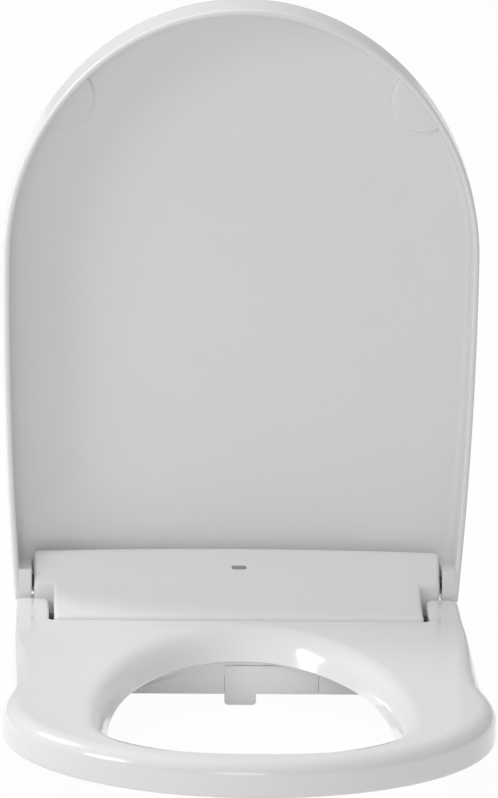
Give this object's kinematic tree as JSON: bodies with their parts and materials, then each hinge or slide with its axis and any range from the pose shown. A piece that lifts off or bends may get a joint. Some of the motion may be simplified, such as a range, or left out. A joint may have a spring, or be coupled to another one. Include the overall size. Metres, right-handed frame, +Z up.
{
  "type": "electric bidet seat",
  "caption": "D-shaped electric bidet seat with an open deep lid, heated ring seat, housing with hinge line, sliding spray nozzle behind a flap, and a slide-on deck plate",
  "frame": {"origin": "midpoint between the two deck bolt slots, on the plane of the bowl's rim", "axes": "+Z up, the seat's front points along -Y, +X is to the right seen from the front"},
  "size_m": [0.3776, 0.4995, 0.5358],
  "materials": {
    "white_gloss": "glossy white moulded plastic",
    "grey_satin": "satin light grey plastic",
    "tray_plastic": "satin off-white plastic",
    "dark_window": "smoked gloss plastic",
    "inner_plastic": "plain dark plastic",
    "board_green": "circuit laminate",
    "soft_pad": "soft pale rubber",
    "pin_steel": "turned steel",
    "heat_foil": "thin foil",
    "nozzle_plastic": "smooth pale plastic",
    "inlet_brass": "nickel-plated brass",
    "button_grey": "satin mid grey plastic"
  },
  "bodies": {
    "bracket": {"mounting_plate": "tray_plastic"},
    "lid": {"lid_shell": "white_gloss", "lid_pads": "white_gloss"},
    "seat": {"seat_shell": "white_gloss", "seat_pan": "tray_plastic", "seat_heater": "heat_foil", "seat_bumpers": "soft_pad"},
    "nozzle": {"nozzle_wand": "nozzle_plastic", "nozzle_tip": "nozzle_plastic"},
    "flap": {"nozzle_flap": "grey_satin"},
    "button": {"release_button": "button_grey"},
    "impeller": {"dryer_impeller": "inner_plastic"},
    "unit": {"base_tray": "tray_plastic", "base_pads": "soft_pad", "cover_screws": "pin_steel", "status_window": "dark_window", "housing_cover": "white_gloss", "lid_hinge_pins": "pin_steel", "seat_hinge_pins": "pin_steel", "lid_dampers": "inner_plastic", "seat_dampers": "inner_plastic", "nozzle_guide": "inner_plastic", "nozzle_motor": "inner_plastic", "nozzle_pod": "grey_satin", "dryer_casing": "inner_plastic", "dryer_duct": "inner_plastic", "water_heater": "inner_plastic", "circuit_board": "board_green", "solenoid_valve": "inner_plastic", "water_inlet": "inlet_brass", "cable_gland": "inner_plastic"}
  },
  "joints": [
    {"name": "unit_slide", "type": "slide", "parent": "bracket", "child": "unit", "axis": [0, -1, 0], "range_m": [0, 0.06]},
    {"name": "lid_hinge", "type": "hinge", "parent": "unit", "child": "lid", "pos_m": [0, 0, 0.05], "axis": [-1, 0, 0], "range_deg": [-92, 0]},
    {"name": "seat_hinge", "type": "hinge", "parent": "unit", "child": "seat", "pos_m": [0, -0.037, 0.028], "axis": [-1, 0, 0], "range_deg": [0, 93]},
    {"name": "nozzle_slide", "type": "slide", "parent": "unit", "child": "nozzle", "axis": [0, -0.9397, -0.342], "range_m": [0, 0.06]},
    {"name": "flap_hinge", "type": "hinge", "parent": "unit", "child": "flap", "pos_m": [0.02445, -0.1045, 0.009], "axis": [-1, 0, 0], "range_deg": [0, 90]},
    {"name": "release_press", "type": "slide", "parent": "unit", "child": "button", "axis": [-1, 0, 0], "range_m": [0, 0.004], "stiffness_N_per_m": 400},
    {"name": "impeller_spin", "type": "hinge", "parent": "unit", "child": "impeller", "pos_m": [0.079, -0.03, 0.02], "axis": [0, 0, 1], "continuous": true}
  ],
  "couplings": [
    {"joint": "flap_hinge", "follows": "nozzle_slide", "rad_per_m": 26}
  ]
}
